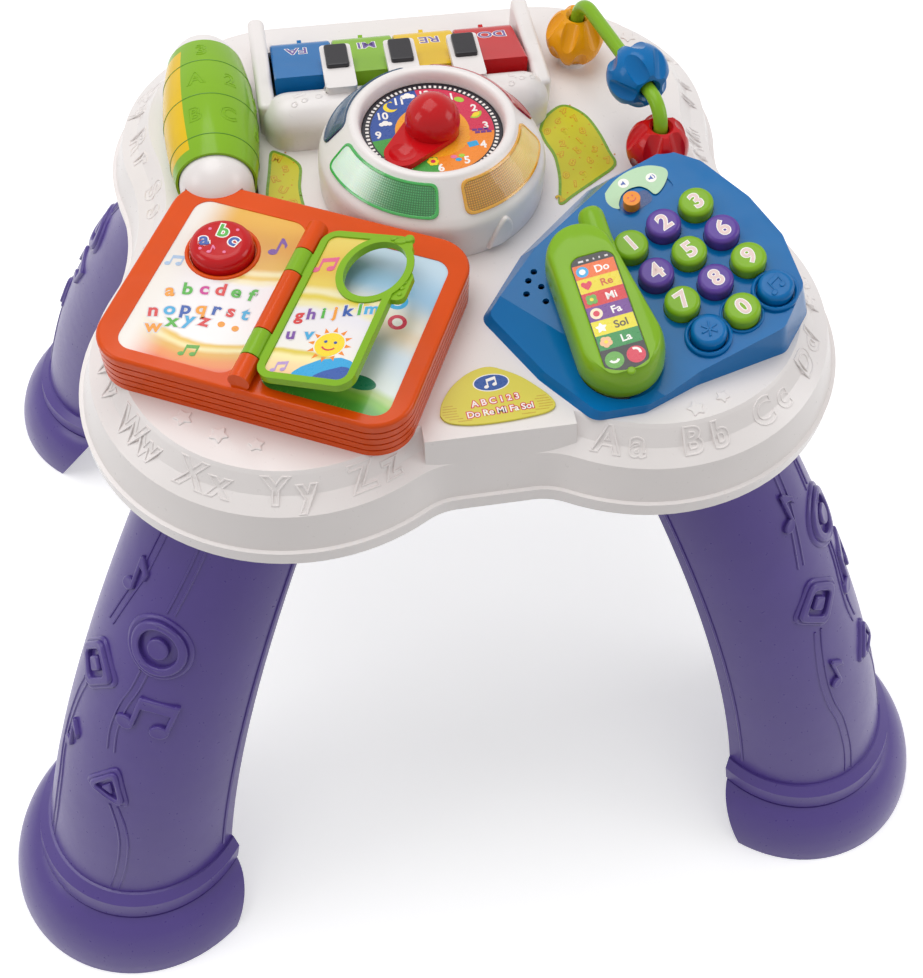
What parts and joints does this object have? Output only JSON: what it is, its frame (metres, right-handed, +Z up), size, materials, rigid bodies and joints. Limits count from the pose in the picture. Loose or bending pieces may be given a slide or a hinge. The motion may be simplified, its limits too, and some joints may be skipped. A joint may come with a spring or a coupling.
{
  "type": "musical activity table",
  "caption": "Toddler's standing activity table: lobed white top with page book, toy phone, spinning roller, lit clock dome, piano keys and bead track on splayed purple legs.",
  "frame": {"origin": "on the floor, midway between the four feet", "axes": "+X to the right of the seated child, -Y towards the child (label side), +Z up"},
  "size_m": [0.5984, 0.5284, 0.422],
  "materials": {
    "white_abs": "satin moulded",
    "purple_abs": "gloss moulded",
    "orange_abs": "gloss moulded",
    "green_abs": "gloss moulded",
    "yellow_abs": "gloss moulded",
    "red_abs": "gloss moulded",
    "blue_abs": "gloss moulded",
    "black_abs": "gloss moulded",
    "printed_label": "gloss printed film",
    "tinted_green": "translucent",
    "tinted_amber": "translucent",
    "tinted_blue": "translucent",
    "tinted_red": "translucent",
    "steel_pin": "drawn bright",
    "circuit_board": "solder resist",
    "speaker_metal": "matt",
    "cell_jacket": "gloss jacket"
  },
  "bodies": {
    "table": {"battery_cells": "cell_jacket", "battery_door": "white_abs", "bead_tube": "green_abs", "black_keys": "black_abs", "book_base": "orange_abs", "book_hinge_pin": "steel_pin", "bottom_shell": "white_abs", "button_spring": "steel_pin", "case_screws": "steel_pin", "clock_dial": "printed_label", "clock_housing": "white_abs", "deck_stickers": "printed_label", "keypad_board": "circuit_board", "label_plate": "printed_label", "leg_front_left": "purple_abs", "leg_front_right": "purple_abs", "leg_rear_left": "purple_abs", "leg_rear_right": "purple_abs", "light_board": "circuit_board", "main_board": "circuit_board", "page_stickers": "printed_label", "phone_panel": "blue_abs", "piano_pivot_rod": "steel_pin", "piano_switch_board": "circuit_board", "roller_axle": "steel_pin", "roller_balls": "white_abs", "speaker": "speaker_metal", "top_shell": "white_abs", "window_amber": "tinted_amber", "window_blue": "tinted_blue", "window_green": "tinted_green", "window_red": "tinted_red"},
    "key_1_body": {"key_1": "green_abs"},
    "key_2_body": {"key_2": "purple_abs"},
    "key_3_body": {"key_3": "green_abs"},
    "key_4_body": {"key_4": "purple_abs"},
    "key_5_body": {"key_5": "green_abs"},
    "key_6_body": {"key_6": "purple_abs"},
    "key_7_body": {"key_7": "green_abs"},
    "key_8_body": {"key_8": "purple_abs"},
    "key_9_body": {"key_9": "green_abs"},
    "key_star_body": {"key_star": "blue_abs"},
    "key_0_body": {"key_0": "green_abs"},
    "key_note_body": {"key_note": "blue_abs"},
    "piano_fa_body": {"piano_key_fa": "blue_abs"},
    "piano_mi_body": {"piano_key_mi": "green_abs"},
    "piano_re_body": {"piano_key_re": "yellow_abs"},
    "piano_do_body": {"piano_key_do": "red_abs"},
    "button_body": {"red_button": "red_abs"},
    "slider_body": {"mode_slider": "orange_abs"},
    "page_body": {"book_page": "green_abs"},
    "roller_body": {"roller_barrel": "green_abs", "roller_yellow_panel": "yellow_abs"},
    "hand_body": {"clock_hand": "red_abs", "hand_clip": "black_abs"},
    "bead_yellow_body": {"bead_yellow": "yellow_abs"},
    "bead_red_body": {"bead_red": "red_abs"},
    "bead_blue_body": {"bead_blue": "blue_abs"},
    "handset_body": {"handset_case": "green_abs", "handset_screen": "printed_label"}
  },
  "joints": [
    {"name": "key_1_press", "type": "slide", "parent": "table", "child": "key_1_body", "axis": [-0.1676, -0.1501, 0.9744], "range_m": [-0.002, 0], "stiffness_N_per_m": 400, "springref_m": 0.0006},
    {"name": "key_2_press", "type": "slide", "parent": "table", "child": "key_2_body", "axis": [-0.1676, -0.1501, 0.9744], "range_m": [-0.002, 0], "stiffness_N_per_m": 400, "springref_m": 0.0006},
    {"name": "key_3_press", "type": "slide", "parent": "table", "child": "key_3_body", "axis": [-0.1676, -0.1501, 0.9744], "range_m": [-0.002, 0], "stiffness_N_per_m": 400, "springref_m": 0.0006},
    {"name": "key_4_press", "type": "slide", "parent": "table", "child": "key_4_body", "axis": [-0.1676, -0.1501, 0.9744], "range_m": [-0.002, 0], "stiffness_N_per_m": 400, "springref_m": 0.0006},
    {"name": "key_5_press", "type": "slide", "parent": "table", "child": "key_5_body", "axis": [-0.1676, -0.1501, 0.9744], "range_m": [-0.002, 0], "stiffness_N_per_m": 400, "springref_m": 0.0006},
    {"name": "key_6_press", "type": "slide", "parent": "table", "child": "key_6_body", "axis": [-0.1676, -0.1501, 0.9744], "range_m": [-0.002, 0], "stiffness_N_per_m": 400, "springref_m": 0.0006},
    {"name": "key_7_press", "type": "slide", "parent": "table", "child": "key_7_body", "axis": [-0.1676, -0.1501, 0.9744], "range_m": [-0.002, 0], "stiffness_N_per_m": 400, "springref_m": 0.0006},
    {"name": "key_8_press", "type": "slide", "parent": "table", "child": "key_8_body", "axis": [-0.1676, -0.1501, 0.9744], "range_m": [-0.002, 0], "stiffness_N_per_m": 400, "springref_m": 0.0006},
    {"name": "key_9_press", "type": "slide", "parent": "table", "child": "key_9_body", "axis": [-0.1676, -0.1501, 0.9744], "range_m": [-0.002, 0], "stiffness_N_per_m": 400, "springref_m": 0.0006},
    {"name": "key_star_press", "type": "slide", "parent": "table", "child": "key_star_body", "axis": [-0.1676, -0.1501, 0.9744], "range_m": [-0.002, 0], "stiffness_N_per_m": 400, "springref_m": 0.0006},
    {"name": "key_0_press", "type": "slide", "parent": "table", "child": "key_0_body", "axis": [-0.1676, -0.1501, 0.9744], "range_m": [-0.002, 0], "stiffness_N_per_m": 400, "springref_m": 0.0006},
    {"name": "key_note_press", "type": "slide", "parent": "table", "child": "key_note_body", "axis": [-0.1676, -0.1501, 0.9744], "range_m": [-0.002, 0], "stiffness_N_per_m": 400, "springref_m": 0.0006},
    {"name": "piano_fa_press", "type": "hinge", "parent": "table", "child": "piano_fa_body", "pos_m": [-0.059, 0.082, 0.369], "axis": [1, 0, 0], "range_deg": [-4, 0], "stiffness_Nm_per_rad": 0.3, "springref_deg": 2.86},
    {"name": "piano_mi_press", "type": "hinge", "parent": "table", "child": "piano_mi_body", "pos_m": [-0.025, 0.082, 0.369], "axis": [1, 0, 0], "range_deg": [-4, 0], "stiffness_Nm_per_rad": 0.3, "springref_deg": 2.86},
    {"name": "piano_re_press", "type": "hinge", "parent": "table", "child": "piano_re_body", "pos_m": [0.009, 0.082, 0.369], "axis": [1, 0, 0], "range_deg": [-4, 0], "stiffness_Nm_per_rad": 0.3, "springref_deg": 2.86},
    {"name": "piano_do_press", "type": "hinge", "parent": "table", "child": "piano_do_body", "pos_m": [0.043, 0.082, 0.369], "axis": [1, 0, 0], "range_deg": [-4, 0], "stiffness_Nm_per_rad": 0.3, "springref_deg": 2.86},
    {"name": "red_button_press", "type": "slide", "parent": "table", "child": "button_body", "axis": [0, 0, 1], "range_m": [-0.0025, 0], "stiffness_N_per_m": 500, "springref_m": 0.001, "deforming": ["button_spring"]},
    {"name": "mode_slide", "type": "slide", "parent": "table", "child": "slider_body", "axis": [0.8974, 0.3859, 0.2138], "range_m": [0, 0.009]},
    {"name": "page_turn", "type": "hinge", "parent": "table", "child": "page_body", "pos_m": [-0.087, -0.081, 0.391], "axis": [-0.4555, -0.8902, 0], "range_deg": [0, 146]},
    {"name": "roller_spin", "type": "hinge", "parent": "table", "child": "roller_body", "pos_m": [-0.111, 0.053, 0.38], "axis": [0, 1, 0], "continuous": true},
    {"name": "clock_hand_turn", "type": "hinge", "parent": "table", "child": "hand_body", "pos_m": [-0.002, 0.0145, 0.396], "axis": [0, 0, 1], "continuous": true},
    {"name": "bead_yellow_spin", "type": "hinge", "parent": "table", "child": "bead_yellow_body", "pos_m": [0.091, 0.097, 0.381], "axis": [0, 0, 1], "continuous": true},
    {"name": "bead_red_spin", "type": "hinge", "parent": "table", "child": "bead_red_body", "pos_m": [0.1127, 0.002, 0.3835], "axis": [0, 0, 1], "continuous": true},
    {"name": "bead_blue_slide", "type": "slide", "parent": "table", "child": "bead_blue_body", "axis": [0.2227, -0.9749, 0], "range_m": [-0.0412, 0.0022]},
    {"name": "handset_lift", "type": "slide", "parent": "table", "child": "handset_body", "axis": [-0.1676, -0.1501, 0.9744], "range_m": [0, 0.06]}
  ]
}
